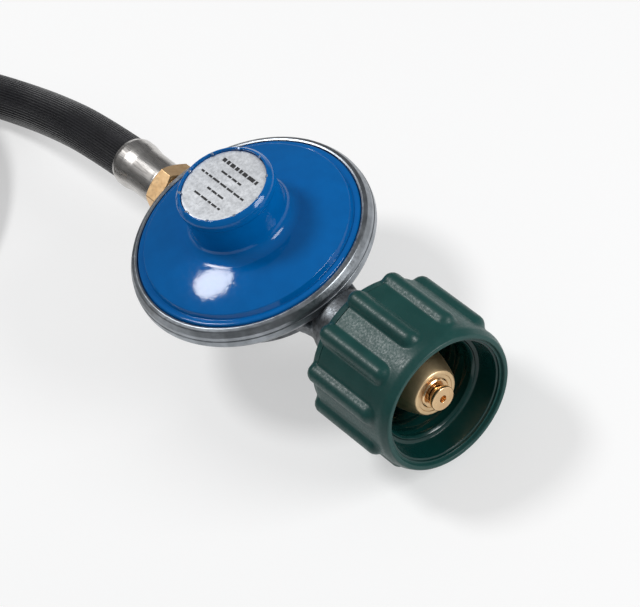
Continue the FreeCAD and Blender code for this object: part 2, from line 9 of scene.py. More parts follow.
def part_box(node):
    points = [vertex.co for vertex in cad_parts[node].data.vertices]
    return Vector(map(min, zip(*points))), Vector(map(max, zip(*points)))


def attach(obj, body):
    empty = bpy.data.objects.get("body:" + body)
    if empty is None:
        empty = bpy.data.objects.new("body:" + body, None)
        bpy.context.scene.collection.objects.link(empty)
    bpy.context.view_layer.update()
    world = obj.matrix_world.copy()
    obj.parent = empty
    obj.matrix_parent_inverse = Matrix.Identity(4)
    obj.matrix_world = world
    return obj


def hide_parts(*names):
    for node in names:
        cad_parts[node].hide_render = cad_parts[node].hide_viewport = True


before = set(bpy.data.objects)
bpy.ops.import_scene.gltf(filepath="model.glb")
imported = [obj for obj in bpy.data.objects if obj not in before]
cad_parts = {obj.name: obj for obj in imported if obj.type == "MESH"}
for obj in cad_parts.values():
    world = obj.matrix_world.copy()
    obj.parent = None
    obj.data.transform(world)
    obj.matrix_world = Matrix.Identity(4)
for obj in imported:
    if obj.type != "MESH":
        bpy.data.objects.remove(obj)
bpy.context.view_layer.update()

# ---------------------------------------------------------------- places
# Shapes are in millimetres, counted from the point where the bonnet's axis
# crosses the gas inlet's axis. Blender's own units are metres.
MM = 0.001
FULL_TURN = 2 * math.pi
bonnet_low, bonnet_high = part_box("bonnet")
probe_low, probe_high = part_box("probe")
AXIS_X = (bonnet_low.x + bonnet_high.x) / 2 / MM
INLET_Z = (probe_low.z + probe_high.z) / 2 / MM
HOSE_RADIUS = 7.4
FERRULE_X = -71.6
HEX_HOSE_X, HEX_BODY_X = -50.9, -44.2
COIL = {"x": -183.2, "y": -93.2, "radius": 71.5, "entry": 122.0, "exit": 650.0}
END_HEIGHT = 26.2
RAMP_START, RAMP_ANGLE = 260, 85
LIFT_ANGLE = 49


def axis_frame(origin, along, top):
    """A frame whose x runs along an axis and whose y points at angle 0."""
    along, top = Vector(along).normalized(), Vector(top).normalized()
    made = Matrix((along, top, along.cross(top))).transposed().to_4x4()
    made.translation = Vector(origin)
    return made


def on_coil(angle, radius=COIL["radius"]):
    """A point of the coil's circle, seen from above."""
    turn = math.radians(angle)
    return COIL["x"] + radius * math.cos(turn), COIL["y"] + radius * math.sin(turn)


def heading(angle):
    turn = math.radians(angle)
    return (math.cos(turn), math.sin(turn), 0)


CENTRE = Vector((AXIS_X, 0, INLET_Z))
INLET = axis_frame(CENTRE, (1, 0, 0), (0, 0, 1))
BONNET = axis_frame(CENTRE, (0, 0, 1), (1, 0, 0))
SLEEVE = axis_frame(CENTRE + Vector((FERRULE_X, 0, 0)), (1, 0, 0), (0, 0, 1))
HOSE_END = axis_frame((*on_coil(COIL["exit"]), END_HEIGHT), heading(COIL["exit"] + 90), (0, 0, 1))

# ---------------------------------------------------------------- camera
camera = bpy.data.objects.new("camera", bpy.data.cameras.new("camera"))
bpy.context.scene.collection.objects.link(camera)
bpy.context.scene.camera = camera
camera.data.sensor_width = 36
camera.data.lens = 179.95
camera.data.clip_start = 0.05
camera.data.clip_end = 20
LOOK_AT = Vector((0.02249, -0.00098, INLET_Z * MM + 0.00406))
CAMERA_AZIMUTH = math.radians(71.198)
CAMERA_ELEVATION = math.radians(47.155)
CAMERA_ROLL = math.radians(-27.582)
CAMERA_DISTANCE = 0.96375
backwards = Vector((
    math.sin(CAMERA_AZIMUTH) * math.cos(CAMERA_ELEVATION),
    -math.cos(CAMERA_AZIMUTH) * math.cos(CAMERA_ELEVATION),
    math.sin(CAMERA_ELEVATION),
))
camera.rotation_mode = "QUATERNION"
level = backwards.to_track_quat("Z", "Y").to_matrix()
camera.rotation_quaternion = (level @ Matrix.Rotation(CAMERA_ROLL, 3, "Z")).to_quaternion()
camera.location = LOOK_AT + backwards * CAMERA_DISTANCE


# ---------------------------------------------------------------- materials
def add_node(tree, kind, inputs=None, **settings):
    """A node whose inputs are values or other nodes' sockets."""
    made = tree.nodes.new(kind)
    for name, value in settings.items():
        setattr(made, name, value)
    for socket, value in (inputs or {}).items():
        if isinstance(value, bpy.types.NodeSocket):
            tree.links.new(value, made.inputs[socket])
        else:
            made.inputs[socket].default_value = value
    return made


def new_material(name, color, metallic=0.0, roughness=0.5, **sockets):
    """A Principled material. Other sockets are given as coat_weight=1 and so on."""
    material = bpy.data.materials.new(name)
    material.use_nodes = True
    tree = material.node_tree
    shader = tree.nodes["Principled BSDF"]
    shader.inputs["Base Color"].default_value = (*color, 1)
    shader.inputs["Metallic"].default_value = metallic
    shader.inputs["Roughness"].default_value = roughness
    for socket, value in sockets.items():
        words = socket.replace("_", " ").title().replace("Ior", "IOR")
        shader.inputs[words].default_value = value
    return material, tree, shader


def grain(tree, size, stretch=(1, 1, 1), detail=3.0, rough=0.55):
    """Noise whose lumps are about size mm wide, stretched along the axes."""
    place = add_node(tree, "ShaderNodeTexCoord")
    squeeze = tuple(1 / s for s in stretch)
    scaled = add_node(tree, "ShaderNodeMapping", {"Vector": place.outputs["Object"], "Scale": squeeze})
    wanted = {"Vector": scaled.outputs[0], "Scale": 0.5 / (size * MM), "Detail": detail, "Roughness": rough}
    return add_node(tree, "ShaderNodeTexNoise", wanted).outputs[0]


def spread(tree, value, low, high, start=0.35, end=0.65):
    """A value between low and high as the texture goes from start to end."""
    wanted = {"Value": value, "From Min": start, "From Max": end, "To Min": low, "To Max": high}
    return add_node(tree, "ShaderNodeMapRange", wanted).outputs[0]


def blend_colors(tree, value, first, second):
    """A colour between two, as the texture goes from low to high."""
    mixer = add_node(tree, "ShaderNodeMix", data_type="RGBA")
    tree.links.new(value, mixer.inputs["Factor"])
    for socket, color in zip(("A", "B"), (first, second)):
        target = next(i for i in mixer.inputs if i.name == socket and i.type == "RGBA")
        target.default_value = (*color, 1)
    return next(o for o in mixer.outputs if o.type == "RGBA")


def bumps(tree, shader, heights):
    """Relief from (texture, height in mm) pairs, one on top of the other."""
    normal = None
    for value, height in heights:
        wanted = {"Height": value, "Distance": height * MM, "Strength": 1.0}
        if normal is not None:
            wanted["Normal"] = normal
        normal = add_node(tree, "ShaderNodeBump", wanted).outputs[0]
    tree.links.new(normal, shader.inputs["Normal"])


def surface(name, color, second, roughness, sizes, relief, metallic=0.0, stretch=(1, 1, 1), **sockets):
    """A material of two mottled colours with uneven gloss and fine relief.

    sizes are the widths in mm of the colour patches and of the relief's grain.
    """
    material, tree, shader = new_material(name, color, metallic, **sockets)
    patches = grain(tree, sizes[0], stretch)
    fine = grain(tree, sizes[1], stretch)
    mottled = blend_colors(tree, spread(tree, patches, 0, 1), color, second)
    tree.links.new(mottled, shader.inputs["Base Color"])
    tree.links.new(spread(tree, fine, *roughness), shader.inputs["Roughness"])
    bumps(tree, shader, [(patches, relief[0]), (fine, relief[1])])
    return material


def tool_marks(name, color, second, roughness, pitch, depth, axis="X"):
    """Turned metal: fine rings round the axis, faint patches and uneven gloss."""
    material, tree, shader = new_material(name, color, 1.0)
    stretch = tuple(0.04 if a == axis else 1 for a in "XYZ")
    rings = grain(tree, pitch, stretch, detail=2)
    patches = grain(tree, 3)
    mottled = blend_colors(tree, spread(tree, patches, 0, 1), color, second)
    tree.links.new(mottled, shader.inputs["Base Color"])
    tree.links.new(spread(tree, rings, *roughness), shader.inputs["Roughness"])
    bumps(tree, shader, [(rings, depth)])
    return material


ZINC_CAST = surface(
    "zinc_cast", (0.20, 0.215, 0.23), (0.09, 0.095, 0.10), (0.36, 0.58), (1.6, 0.35), (0.08, 0.04),
    metallic=1.0,
)
ZINC_RIM = surface(
    "zinc_rim", (0.34, 0.365, 0.395), (0.24, 0.26, 0.28), (0.28, 0.42), (2.4, 0.5), (0.03, 0.006),
    metallic=1.0,
)
BLUE_ENAMEL = surface(
    "blue_enamel", (0.0, 0.118, 0.39), (0.0, 0.108, 0.36), (0.05, 0.11), (2.6, 0.8), (0.020, 0.022),
    specular_ior_level=0.26,
)
GREEN_NYLON = surface(
    "green_nylon", (0.006, 0.050, 0.045), (0.009, 0.060, 0.054), (0.32, 0.50), (5.0, 0.32), (0.02, 0.028),
    specular_ior_level=0.36,
)
# A darker, glossier copy of the green nylon for the inside of the nut's mouth: the smoother gloss is the
# bore's own, the darker colour is painted shade in the recess.
GREEN_BORE_PAINTED_SHADE = surface(
    "green_bore_painted_shade", (0.002, 0.028, 0.025), (0.003, 0.033, 0.030), (0.14, 0.24), (4.0, 0.5), (0.01, 0.003),
    specular_ior_level=0.4,
)
BRASS_TURNED = tool_marks("brass_turned", (0.80, 0.60, 0.36), (0.68, 0.49, 0.28), (0.34, 0.48), 0.3, 0.006)
BRASS_HEX = surface(
    "brass_hex", (0.90, 0.62, 0.34), (0.78, 0.50, 0.25), (0.34, 0.50), (1.8, 0.3), (0.02, 0.008), metallic=1.0
)
PROBE_BRASS = tool_marks("probe_brass", (0.80, 0.56, 0.32), (0.70, 0.47, 0.26), (0.16, 0.28), 0.3, 0.004)
BRONZE = surface(
    "bronze", (0.40, 0.27, 0.14), (0.28, 0.18, 0.09), (0.5, 0.8), (0.6, 0.3), (0.05, 0.05), metallic=1.0
)
FERRULE_STEEL = surface(
    "ferrule_steel", (0.62, 0.60, 0.58), (0.46, 0.44, 0.42), (0.24, 0.38), (1.0, 0.25), (0.008, 0.004),
    metallic=1.0, stretch=(12, 1, 1),
)
PLATED_STEEL = surface(
    "plated_steel", (0.55, 0.55, 0.53), (0.46, 0.45, 0.42), (0.25, 0.42), (1.5, 0.3), (0.02, 0.01),
    metallic=1.0,
)
SEAL_FOIL = surface(
    "seal_foil", (0.74, 0.76, 0.79), (0.66, 0.68, 0.71), (0.32, 0.44), (3.0, 0.5), (0.05, 0.004), metallic=0.6
)
HOSE_RUBBER = surface(
    "hose_rubber", (0.010, 0.010, 0.012), (0.015, 0.015, 0.018), (0.26, 0.36), (3.0, 0.4), (0.01, 0.006)
)
SOFT_RUBBER = surface(
    "soft_rubber", (0.020, 0.020, 0.020), (0.030, 0.030, 0.029), (0.5, 0.7), (2.0, 0.4), (0.02, 0.02)
)
GREY_PLASTIC = surface(
    "grey_plastic", (0.26, 0.26, 0.27), (0.31, 0.31, 0.32), (0.42, 0.55), (4.0, 0.3), (0.02, 0.01)
)
BLACK_PLASTIC = surface(
    "black_plastic", (0.018, 0.018, 0.018), (0.027, 0.027, 0.027), (0.4, 0.6), (3.0, 0.3), (0.02, 0.01)
)
SCUFFED_PAINT = surface(
    "scuffed_paint", (0.02, 0.10, 0.26), (0.34, 0.38, 0.44), (0.25, 0.45), (0.7, 0.2), (0.02, 0.01),
    metallic=0.4,
)
PRINT_INK = surface(
    "print_ink", (0.012, 0.012, 0.014), (0.02, 0.02, 0.022), (0.35, 0.5), (0.8, 0.2), (0.002, 0.002)
)


# ---------------------------------------------------------------- mesh tools
def rounded(corners, steps=5):
    """(along, out, fillet) corners as points, each fillet drawn as an arc."""
    points = []
    for index, corner in enumerate(corners):
        here = Vector(corner[:2])
        fillet = corner[2] if len(corner) > 2 else 0
        if not fillet:
            points.append(here)
            continue
        to_before = (Vector(corners[index - 1][:2]) - here).normalized()
        to_after = (Vector(corners[(index + 1) % len(corners)][:2]) - here).normalized()
        half = to_before.angle(to_after) / 2
        middle = here + (to_before + to_after).normalized() * fillet / math.sin(half)
        reach = fillet / math.tan(half)
        first = here + to_before * reach - middle
        last = here + to_after * reach - middle
        sweep = math.atan2(first.x * last.y - first.y * last.x, first.dot(last))
        for step in range(steps + 1):
            angle = sweep * step / steps
            cosine, sine = math.cos(angle), math.sin(angle)
            turned = Vector((first.x * cosine - first.y * sine, first.x * sine + first.y * cosine))
            points.append(middle + turned)
    return points


def arc(start, end, rise, steps=10):
    """Points of an arc between two (along, out) points, rise mm to the left of the chord."""
    start, end = Vector(start), Vector(end)
    chord = end - start
    left = Vector((-chord.y, chord.x)).normalized()
    radius = (chord.length**2 / 4 + rise**2) / (2 * abs(rise))
    side = math.copysign(1, rise)
    middle = start + chord / 2 + left * (rise - side * radius)
    half = math.asin(chord.length / 2 / radius)
    points = []
    for step in range(steps + 1):
        angle = half * (2 * step / steps - 1)
        outward = left * side * math.cos(angle) + chord.normalized() * math.sin(angle)
        points.append(middle + outward * radius)
    return [tuple(p) for p in points]


def subdivided(points, longest):
    """The closed outline with no side longer than longest."""
    made = []
    for here, after in zip(points, points[1:] + points[:1]):
        pieces = max(1, math.ceil((after - here).length / longest))
        made += [here.lerp(after, k / pieces) for k in range(pieces)]
    return made


def new_object(name, bm, sharp=38):
    """A smooth-shaded object from a bmesh, with edges over sharp degrees kept crisp."""
    bmesh.ops.recalc_face_normals(bm, faces=bm.faces)
    mesh = bpy.data.meshes.new(name)
    bm.to_mesh(mesh)
    bm.free()
    made = bpy.data.objects.new(name, mesh)
    bpy.context.scene.collection.objects.link(made)
    smooth(made, sharp)
    return made


def smooth(obj, sharp=38):
    obj.data.polygons.foreach_set("use_smooth", [True] * len(obj.data.polygons))
    obj.data.set_sharp_from_angle(angle=math.radians(sharp))


def settle(obj):
    """Make the modifiers' result the object's own mesh."""
    seen = obj.evaluated_get(bpy.context.evaluated_depsgraph_get())
    mesh = bpy.data.meshes.new_from_object(seen)
    obj.modifiers.clear()
    obj.data = mesh


def combine(obj, tool, operation):
    """A boolean of obj with tool, which is used up."""
    cutter = obj.modifiers.new("cut", "BOOLEAN")
    cutter.operation = operation
    cutter.object = tool
    cutter.solver = "EXACT"
    settle(obj)
    bpy.data.objects.remove(tool)
    smooth(obj)
    return obj


def weighted(obj):
    """Flat faces stay flat beside rounded edges."""
    normals = obj.modifiers.new("normals", "WEIGHTED_NORMAL")
    normals.keep_sharp = True
    return obj


def lathe(name, corners, axis, columns=96, shape=None, longest=None, steps=5):
    """A closed solid turned about an axis frame from (along, radius, fillet) corners in mm.

    columns is a count or a list of angles. shape(along, radius, angle) may move points in or out.
    """
    outline = rounded(corners, steps)
    if longest:
        outline = subdivided(outline, longest)
    angles = [FULL_TURN * k / columns for k in range(columns)] if isinstance(columns, int) else columns
    bm = bmesh.new()
    rings = []
    for along, radius in outline:
        if radius < 1e-6:
            rings.append([bm.verts.new(axis @ Vector((along, 0, 0)) * MM)])
            continue
        ring = []
        for angle in angles:
            out = shape(along, radius, angle) if shape else radius
            place = axis @ Vector((along, out * math.cos(angle), out * math.sin(angle)))
            ring.append(bm.verts.new(place * MM))
        rings.append(ring)
    for ring, after in zip(rings, rings[1:] + rings[:1]):
        bridge(bm, ring, after)
    return new_object(name, bm)


def bridge(bm, ring, after):
    count = max(len(ring), len(after))
    if count == 1:
        return
    for k in range(count):
        corners = [ring[k % len(ring)], ring[(k + 1) % len(ring)]]
        corners += [after[(k + 1) % len(after)], after[k % len(after)]]
        bm.faces.new(list(dict.fromkeys(corners)))


def prism(name, outline, low, high, axis):
    """A straight solid from (y, z) corners in the axis frame, from low to high along it."""
    bm = bmesh.new()
    rings = [[bm.verts.new(axis @ Vector((x, y, z)) * MM) for y, z in outline] for x in (low, high)]
    bridge(bm, *rings)
    for ring in rings:
        bm.faces.new(ring)
    return new_object(name, bm)


def finished(obj, material, body="root", stands_for=()):
    """Give a piece its material, its body and the CAD nodes it stands for."""
    obj.data.materials.clear()
    obj.data.materials.append(material)
    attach(obj, body)
    if stands_for:
        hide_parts(*stands_for)
    return obj


# ---------------------------------------------------------------- hose
def lay_height(angle):
    """The hose's height in the coil: a lap on the floor, a ramp, then up to the end's height."""
    ramp = min(max((angle - COIL["entry"] - RAMP_START) / RAMP_ANGLE, 0), 1)
    lift = min(max((angle - COIL["exit"] + LIFT_ANGLE) / LIFT_ANGLE, 0), 1)
    lap = 2 * HOSE_RADIUS * ramp * ramp * (3 - 2 * ramp)
    return HOSE_RADIUS + lap + (END_HEIGHT - 3 * HOSE_RADIUS) * lift * lift * (3 - 2 * lift)


HOSE_ROUTE = [
    (AXIS_X + FERRULE_X, 0, INLET_Z),
    (-103.2, -0.6, 23.7),
    (-127.2, -1.2, 16.7),
    (-149.2, -2.6, 9.8),
    (-171.2, -7.6, 7.5),
    (-197.4, -18.0, HOSE_RADIUS),
    (*on_coil(COIL["entry"]), HOSE_RADIUS),
]
COIL_POINTS = 20
coil_step = (COIL["exit"] - COIL["entry"]) / COIL_POINTS
outer_radius = COIL["radius"] / math.cos(math.radians(coil_step / 2))
for number in range(COIL_POINTS):
    angle = COIL["entry"] + coil_step * (number + 0.5)
    HOSE_ROUTE.append((*on_coil(angle, outer_radius), lay_height(angle)))
HOSE_ROUTE.append((*on_coil(COIL["exit"]), END_HEIGHT))


def hose_line():
    """Points read from the route's own smooth spline."""
    curve = bpy.data.curves.new("hose_line", "CURVE")
    curve.dimensions = "3D"
    curve.resolution_u = 12
    spline = curve.splines.new("NURBS")
    spline.points.add(len(HOSE_ROUTE) - 1)
    for point, place in zip(spline.points, HOSE_ROUTE):
        point.co = (*(Vector(place) * MM), 1)
    spline.order_u = 3
    spline.use_endpoint_u = True
    carrier = bpy.data.objects.new("hose_line", curve)
    bpy.context.scene.collection.objects.link(carrier)
    seen = carrier.evaluated_get(bpy.context.evaluated_depsgraph_get())
    points = [v.co.copy() for v in bpy.data.meshes.new_from_object(seen).vertices]
    bpy.data.objects.remove(carrier)
    return points


FLUTES = 50
FLUTE_DEPTH = 0.3


def fluted_ring():
    """(angle, radius) of the hose's section: flat-topped ribs with narrow grooves between."""
    section = []
    for number in range(FLUTES):
        for share, depth in ((0.0, 1), (0.22, 0), (0.72, 0), (0.94, 1)):
            section.append((FULL_TURN * (number + share) / FLUTES, HOSE_RADIUS - FLUTE_DEPTH * depth))
    return section


def make_hose():
    points = hose_line()
    section = fluted_ring()
    bm = bmesh.new()
    rings = []
    side = Vector((0, 0, 1))
    for index, here in enumerate(points):
        before = points[max(index - 1, 0)]
        after = points[min(index + 1, len(points) - 1)]
        forward = (after - before).normalized()
        side = (side - forward * side.dot(forward)).normalized()
        third = forward.cross(side)
        ring = []
        for angle, radius in section:
            out = side * math.cos(angle) + third * math.sin(angle)
            ring.append(bm.verts.new(here + out * radius * MM))
        rings.append(ring)
    for ring, after in zip(rings, rings[1:]):
        bridge(bm, ring, after)
    for ring in (rings[0], rings[-1]):
        bm.faces.new(ring)
    return new_object("hose_fluted", bm, 60), points


hose, hose_path = make_hose()
finished(hose, HOSE_RUBBER, "root", ["hose", "hose_coil"])


# ---------------------------------------------------------------- hose ends
FERRULE_LENGTH = 20.4
CRIMPS = 8
CRIMP_START, CRIMP_END = 6, 20
CRIMP_DEPTH = 0.14


def crimped(along, radius, angle):
    """Flats pressed into the narrow part of the sleeve."""
    if radius < 7.5 or not CRIMP_START < along < CRIMP_END:
        return radius
    share = min((along - CRIMP_START) / 3, (CRIMP_END - along) / 1.2, 1)
    return radius - CRIMP_DEPTH / 2 * share * (1 - math.cos(CRIMPS * angle))


def make_ferrule(name, axis):
    sleeve = lathe(
        name,
        [
            (0, 7.45),
            (0, 7.75, 0.1),
            (1.6, 8.3, 1.2),
            (4.6, 8.25, 2.0),
            (8.2, 7.7, 3.0),
            (19.8, 7.7, 0.6),
            (FERRULE_LENGTH, 7.2, 0.3),
            (FERRULE_LENGTH, 5.2),
            (FERRULE_LENGTH - 1.6, 5.2),
            (FERRULE_LENGTH - 1.6, 7.45),
        ],
        axis,
        columns=128,
        shape=crimped,
        longest=0.6,
    )
    hole_side = axis.to_3x3() @ Vector((0, -0.50, -0.87))
    witness = axis_frame(axis @ Vector((17.2, 0, 0)), hole_side, axis.to_3x3().col[0])
    drill = lathe("drill", [(5, 0), (5, 0.85), (9, 0.85), (9, 0)], witness, columns=24)
    return weighted(combine(sleeve, drill, "DIFFERENCE"))


def hex_corners(flats, turn=0.0):
    corner = flats / math.sqrt(3)
    angles = [math.radians(turn + 60 * k) for k in range(6)]
    return [(corner * math.cos(a), corner * math.sin(a)) for a in angles]


def hexagon_solid(name, low, high, flats, axis, chamfer=0.8, turn=0.0):
    """A hexagon whose corners are turned off at both faces."""
    block = prism(name, hex_corners(flats, turn), low, high, axis)
    edge = block.modifiers.new("edge", "BEVEL")
    edge.width = 0.25 * MM
    edge.segments = 2
    settle(block)
    out = flats / math.sqrt(3)
    barrel = lathe(
        "barrel",
        [
            (low - 0.01, 0),
            (low - 0.01, flats / 2 - 0.3),
            (low + chamfer, out + 0.25),
            (high - chamfer, out + 0.25),
            (high + 0.01, flats / 2 - 0.3),
            (high + 0.01, 0),
        ],
        axis,
        columns=120,
    )
    return combine(block, barrel, "INTERSECT")


def make_outlet():
    hexagon = hexagon_solid("outlet_hexagon", HEX_HOSE_X, HEX_BODY_X, 17.0, INLET, 1.2, turn=-4)
    finished(weighted(hexagon), BRASS_HEX, "root", ["outlet_fitting"])
    shank = lathe(
        "outlet_shank",
        [
            (-34, 2.4),
            (-34, 6.6),
            (-43, 6.6),
            (-43, 8.3, 0.4),
            (HEX_BODY_X, 8.3),
            (HEX_BODY_X, 5.2),
            (HEX_HOSE_X - 1.1, 5.2),
            (HEX_HOSE_X - 1.1, 4.2),
            (FERRULE_X + 3, 4.2),
            (FERRULE_X + 2, 3.4, 0.3),
            (FERRULE_X + 2, 2.4),
        ],
        INLET,
    )
    finished(weighted(shank), BRASS_TURNED, "root", ["outlet_fitting"])


finished(make_ferrule("hose_sleeve", SLEEVE), FERRULE_STEEL, "root", ["hose_ferrule"])
make_outlet()

end_sleeve = make_ferrule("end_sleeve", HOSE_END)
finished(end_sleeve, PLATED_STEEL, "root", ["end_ferrule"])
end_stem = lathe(
    "flared_stem",
    [
        (1, 2.4),
        (1, 3.4, 0.4),
        (2, 4.2, 0.3),
        (19.6, 4.2),
        (19.6, 5, 0.3),
        (30.2, 5, 0.4),
        (30.2, 7.4, 0.3),
        (32.4, 7.4, 0.4),
        (36, 3.2, 0.3),
        (36, 2.4),
    ],
    HOSE_END,
)
finished(weighted(end_stem), BRASS_TURNED, "root", ["end_stem"])


def thread(along, pitch, angle, depth, start, end):
    """How far a screw thread's groove reaches at a point, fading out at both ends."""
    phase = (along / pitch - angle / FULL_TURN) % 1
    groove = min(max(2.4 * (0.5 - abs(phase - 0.5)) - 0.25, 0), 0.75) / 0.75
    fade = min(max((along - start) / 0.8, 0), max((end - along) / 0.8, 0), 1)
    return depth * groove * fade


def make_end_nut():
    nut = hexagon_solid("swivel_nut", 25.4, 44.4, 19.0, HOSE_END, 1.0)
    bore = lathe(
        "bore",
        [
            (24, 0),
            (24, 5.3),
            (29.4, 5.3),
            (29.4, 8.3),
            (36.4, 8.3),
            (36.4, 7.94),
            (44.0, 7.94),
            (45.5, 9.4),
            (45.5, 0),
        ],
        HOSE_END,
        columns=96,
        shape=lambda a, r, t: r + thread(a, 1.41, t, 0.55, 36.6, 44.2) if r > 7.5 else r,
        longest=0.35,
    )
    return weighted(combine(nut, bore, "DIFFERENCE"))


end_nut = finished(make_end_nut(), BRASS_HEX, "end_nut", ["end_swivel_nut"])


# ---------------------------------------------------------------- casting
def make_casting():
    """The bowl, its neck, webs and bosses, run together as a rough cast skin."""
    bowl = lathe(
        "casting",
        [
            (-13.5, 0),
            (-13.5, 20.5, 2),
            (-8, 25.5, 2),
            (1, 25.5, 3),
            (6.4, 34.8),
            (7.4, 37.0),
            (8.6, 37.0),
            (8.8, 33),
            (3.5, 22.5),
            (-8, 22.5),
            (-11, 20.5),
            (-11, 0),
        ],
        BONNET,
    )
    neck = lathe(
        "neck",
        [
            (9, 0),
            (9, 5),
            (21, 5),
            (21, 8.4),
            (34, 8.4),
            (40, 11),
            (46, 11),
            (48.4, 13.2),
            (52, 13.2),
            (52, 0),
        ],
        INLET,
    )
    boss = lathe("boss", [(-22, 0), (-22, 9.5), (-42.4, 9.5), (-43, 8.9), (-43, 0)], INLET)
    web = prism("web", [(26, -12.4), (33, -10.5), (44, -8), (44, 8), (33, 10.5), (26, 12.4)], 0, 5.4, BONNET)
    lug_axis = axis_frame(CENTRE + Vector((29, -9.5, 0)), (0, 0, 1), (1, 0, 0))
    lug = lathe("lug", [(1.2, 0), (1.2, 2.4), (8, 2.8), (8, 0)], lug_axis, columns=32)
    bpy.ops.object.select_all(action="DESELECT")
    for part in (neck, boss, web, lug, bowl):
        part.select_set(True)
    bpy.context.view_layer.objects.active = bowl
    bpy.ops.object.join()
    skin = bowl.modifiers.new("skin", "REMESH")
    skin.mode = "VOXEL"
    skin.voxel_size = 0.5 * MM
    soften = bowl.modifiers.new("soften", "SMOOTH")
    soften.factor = 0.6
    soften.iterations = 12
    settle(bowl)
    smooth(bowl, 80)
    return bowl


casting = make_casting()
gas_way = lathe(
    "gas_way",
    [(8, 0), (8, 3.1), (30, 3.1), (30, 2.2), (38, 2.2), (38, 7), (53, 7), (53, 0)],
    INLET,
    columns=48,
)
combine(casting, gas_way, "DIFFERENCE")
outlet_way = lathe(
    "outlet_way", [(-18, 0), (-18, 3.2), (-32, 3.2), (-32, 6.6), (-44, 6.6), (-44, 0)], INLET, columns=48
)
combine(casting, outlet_way, "DIFFERENCE")
lever_slot = prism("lever_slot", [(10.4, -1.7), (15.6, -1.7), (15.6, 1.7), (10.4, 1.7)], -9, 0, BONNET)
combine(casting, lever_slot, "DIFFERENCE")
smooth(casting, 60)
finished(casting, ZINC_CAST, "root", ["body_casting"])

rim = lathe(
    "rolled_rim",
    [
        (13.8, 36.3),
        (14.8, 36.3, 0.25),
        (15.02, 37.0, 0.5),
        (14.5, 38.1, 0.9),
        (12.6, 39.15, 0.8),
        (11.5, 39.25),
        (11.35, 39.05),
        (11.15, 39.45, 0.2),
        (9.2, 39.5, 0.8),
        (7.9, 38.7, 0.6),
        (6.8, 37.0, 0.5),
        (6.3, 34.3),
        (8.8, 33),
        (11, 33),
        (11, 37.4),
        (13.8, 37.4),
    ],
    BONNET,
    columns=180,
)
finished(weighted(rim), ZINC_RIM, "root", ["body_casting"])

# ---------------------------------------------------------------- bonnet
dome = arc((17.1, 33.2), (21.15, 18.4), 0.45)
bonnet = lathe(
    "bonnet_shell",
    [
        (12.2, 37.4),
        (13.8, 37.4),
        (13.8, 36.1),
        (15.2, 35.85, 0.7),
        (15.25, 34.4, 0.3),
        (15.1, 33.9, 0.3),
        (17.05, 33.3, 0.6),
        *dome[1:],
        (21.6, 15.2, 4.4),
        (33.4, 15.2, 0.8),
        (34.2, 15.6, 0.6),
        (36.6, 15.6, 1.5),
        (38, 14.4, 0.45),
        (38, 13.9, 0.15),
        (36.6, 13.9),
        (36.6, 12.6),
        (19.4, 12.6),
        (15.4, 31.4),
        (14, 32.2),
        (12.2, 33),
    ],
    BONNET,
    columns=192,
    steps=7,
)
finished(bonnet, BLUE_ENAMEL, "root", ["bonnet"])

# ---------------------------------------------------------------- label
SEAL_TOP = 37.1
SEAL_CREASE = 0.05
CREASES_PER_METRE = 400
seal = lathe(
    "seal_label",
    [(36.6, 0), (36.6, 13.8), (SEAL_TOP, 13.8, 0.3), (SEAL_TOP, 0)],
    BONNET,
    columns=128,
    longest=0.7,
)
for vertex in seal.data.vertices:
    if vertex.co.z > (INLET_Z + SEAL_TOP - 0.2) * MM:
        vertex.co.z += SEAL_CREASE * MM * noise.noise(vertex.co * CREASES_PER_METRE)
finished(seal, SEAL_FOIL, "root", ["seal_disc"])


def make_print():
    """Rows of plain bars where a label carries its print."""
    draw = random.Random(4)
    bm = bmesh.new()
    row_sizes = ((8.6, 1.3), (5.2, 0.7), (11.2, 0.7), (4.0, 0.7), (6.4, 0.7))
    for row, (reach, height) in enumerate(row_sizes):
        y = 6.8 - 3.4 * row
        x = -reach
        while x < reach - 0.8:
            width = min(draw.uniform(1.0, 3.2), reach - x)
            low = Vector((x, y - height / 2, SEAL_TOP + 0.04))
            size = Vector((width, height, 0.03))
            box = bmesh.ops.create_cube(bm, size=1)["verts"]
            for vertex in box:
                place = low + Vector([(vertex.co[k] + 0.5) * size[k] for k in range(3)])
                vertex.co = (CENTRE + place) * MM
            x += width + 0.6
    return new_object("label_bars", bm)


finished(make_print(), PRINT_INK, "root", ["seal_disc"])


def make_stakes():
    """Ten small tongues punched over the seal's edge."""
    bm = bmesh.new()
    for number in range(10):
        angle = math.radians(12 + 36 * number)
        turned_frame = BONNET @ Matrix.Rotation(angle, 4, "X")
        foot_corners = [(37.5, 13.4, -0.45), (37.5, 14.45, -0.75), (37.5, 14.45, 0.75), (37.5, 13.4, 0.45)]
        top_corners = [(37.85, 13.5, -0.3), (38.15, 14.3, -0.5), (38.15, 14.3, 0.5), (37.85, 13.5, 0.3)]
        foot = [bm.verts.new(turned_frame @ Vector(corner) * MM) for corner in foot_corners]
        top = [bm.verts.new(turned_frame @ Vector(corner) * MM) for corner in top_corners]
        bridge(bm, foot, top)
        bm.faces.new(foot)
        bm.faces.new(top)
    made = new_object("stake_marks", bm)
    edge = made.modifiers.new("edge", "BEVEL")
    edge.width = 0.12 * MM
    edge.segments = 2
    return made


finished(make_stakes(), SCUFFED_PAINT, "root", ["bonnet"])

